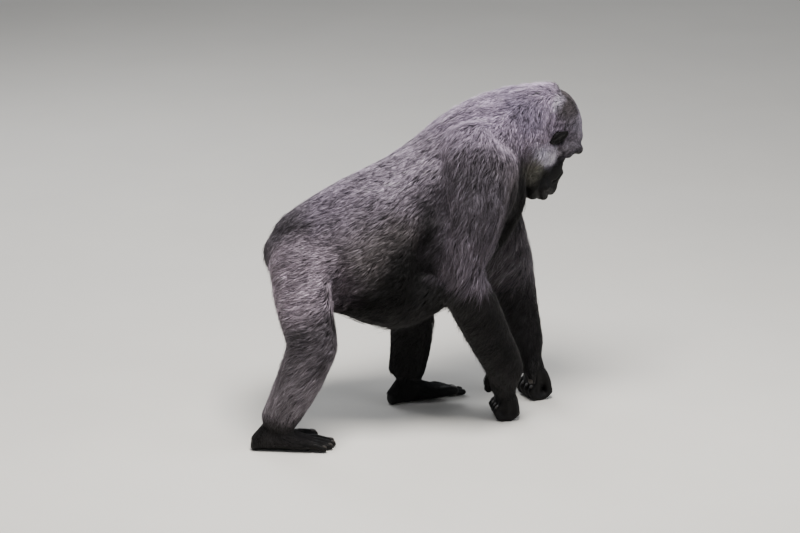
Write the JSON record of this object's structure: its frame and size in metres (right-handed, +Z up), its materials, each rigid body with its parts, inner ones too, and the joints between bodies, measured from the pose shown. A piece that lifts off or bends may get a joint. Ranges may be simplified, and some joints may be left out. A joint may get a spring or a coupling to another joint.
{
  "type": "gorilla",
  "caption": "Life-size still model of an adult female gorilla on knuckles and soles, mid-stride, head bowed and turned a little to its left.",
  "frame": {"origin": "on the floor under the middle of the animal's bounding box", "axes": "+X towards the head, +Y to the animal's left, +Z up from the floor"},
  "size_m": [0.9792, 0.5232, 0.93],
  "materials": {
    "coat": "grizzled grey-brown hair over black skin",
    "limb_coat": "near-black hair",
    "head": "short dark hair with a brown cap round a bare black face",
    "bare_skin": "bare wrinkled black skin, satin",
    "eye": "wet dark brown"
  },
  "bodies": {
    "root": {"trunk": "coat", "neck": "coat", "head": "head", "ear_right": "bare_skin", "ear_left": "bare_skin", "eye_right": "eye", "eye_left": "eye", "upper_arm_right": "limb_coat", "upper_arm_left": "limb_coat", "forearm_right": "limb_coat", "forearm_left": "limb_coat", "hand_right": "bare_skin", "hand_left": "bare_skin", "thigh_right": "coat", "thigh_left": "coat", "shank_right": "limb_coat", "shank_left": "limb_coat", "foot_right": "bare_skin", "foot_left": "bare_skin"}
  },
  "joints": []
}
